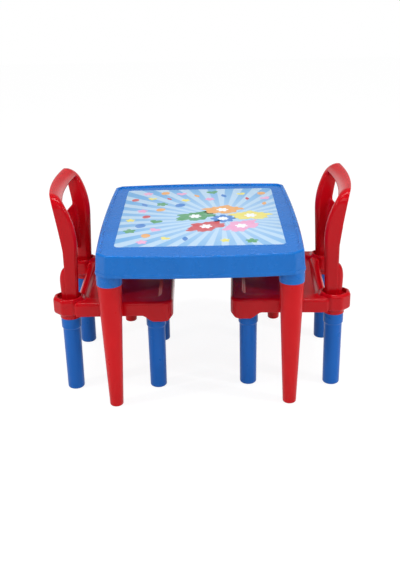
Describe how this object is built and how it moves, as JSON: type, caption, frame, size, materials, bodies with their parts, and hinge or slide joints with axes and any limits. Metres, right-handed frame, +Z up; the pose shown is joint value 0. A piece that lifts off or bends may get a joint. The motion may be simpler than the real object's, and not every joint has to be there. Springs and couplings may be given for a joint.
{
  "type": "kids table and chairs",
  "caption": "Low moulded table with a raised rim, a flush printed sheet and tapered plug-in legs, with matching small chairs tucked under its sides.",
  "frame": {"origin": "on the floor under the middle of the whole set, with the chairs tucked in", "axes": "+X from the left chair to the right chair, +Y from the table's front to its back, +Z up"},
  "size_m": [0.7791, 0.636, 0.531],
  "materials": {
    "table_blue": "semi-gloss moulded polypropylene, bright blue",
    "printed_sheet": null,
    "table_leg_red": "semi-gloss moulded polypropylene, bright red",
    "chair_red": "gloss moulded polypropylene, deep red",
    "chair_leg_blue": "semi-gloss moulded polypropylene, blue"
  },
  "bodies": {
    "table": {"table_top": "table_blue", "table_print": "printed_sheet", "table_leg_front_left": "table_leg_red", "table_leg_front_right": "table_leg_red", "table_leg_back_left": "table_leg_red", "table_leg_back_right": "table_leg_red"},
    "left_chair": {"left_chair_seat": "chair_red", "left_chair_backrest": "chair_red", "left_chair_leg_front_near": "chair_leg_blue", "left_chair_leg_front_far": "chair_leg_blue", "left_chair_leg_rear_near": "chair_leg_blue", "left_chair_leg_rear_far": "chair_leg_blue"},
    "right_chair": {"right_chair_seat": "chair_red", "right_chair_backrest": "chair_red", "right_chair_leg_front_near": "chair_leg_blue", "right_chair_leg_front_far": "chair_leg_blue", "right_chair_leg_rear_near": "chair_leg_blue", "right_chair_leg_rear_far": "chair_leg_blue"}
  },
  "joints": [
    {"name": "left_chair_slide", "type": "slide", "parent": "table", "child": "left_chair", "axis": [-1, 0, 0], "range_m": [-0.04, 0.3]},
    {"name": "right_chair_slide", "type": "slide", "parent": "table", "child": "right_chair", "axis": [0.9992, -0.0401, 0], "range_m": [-0.04, 0.3]}
  ]
}
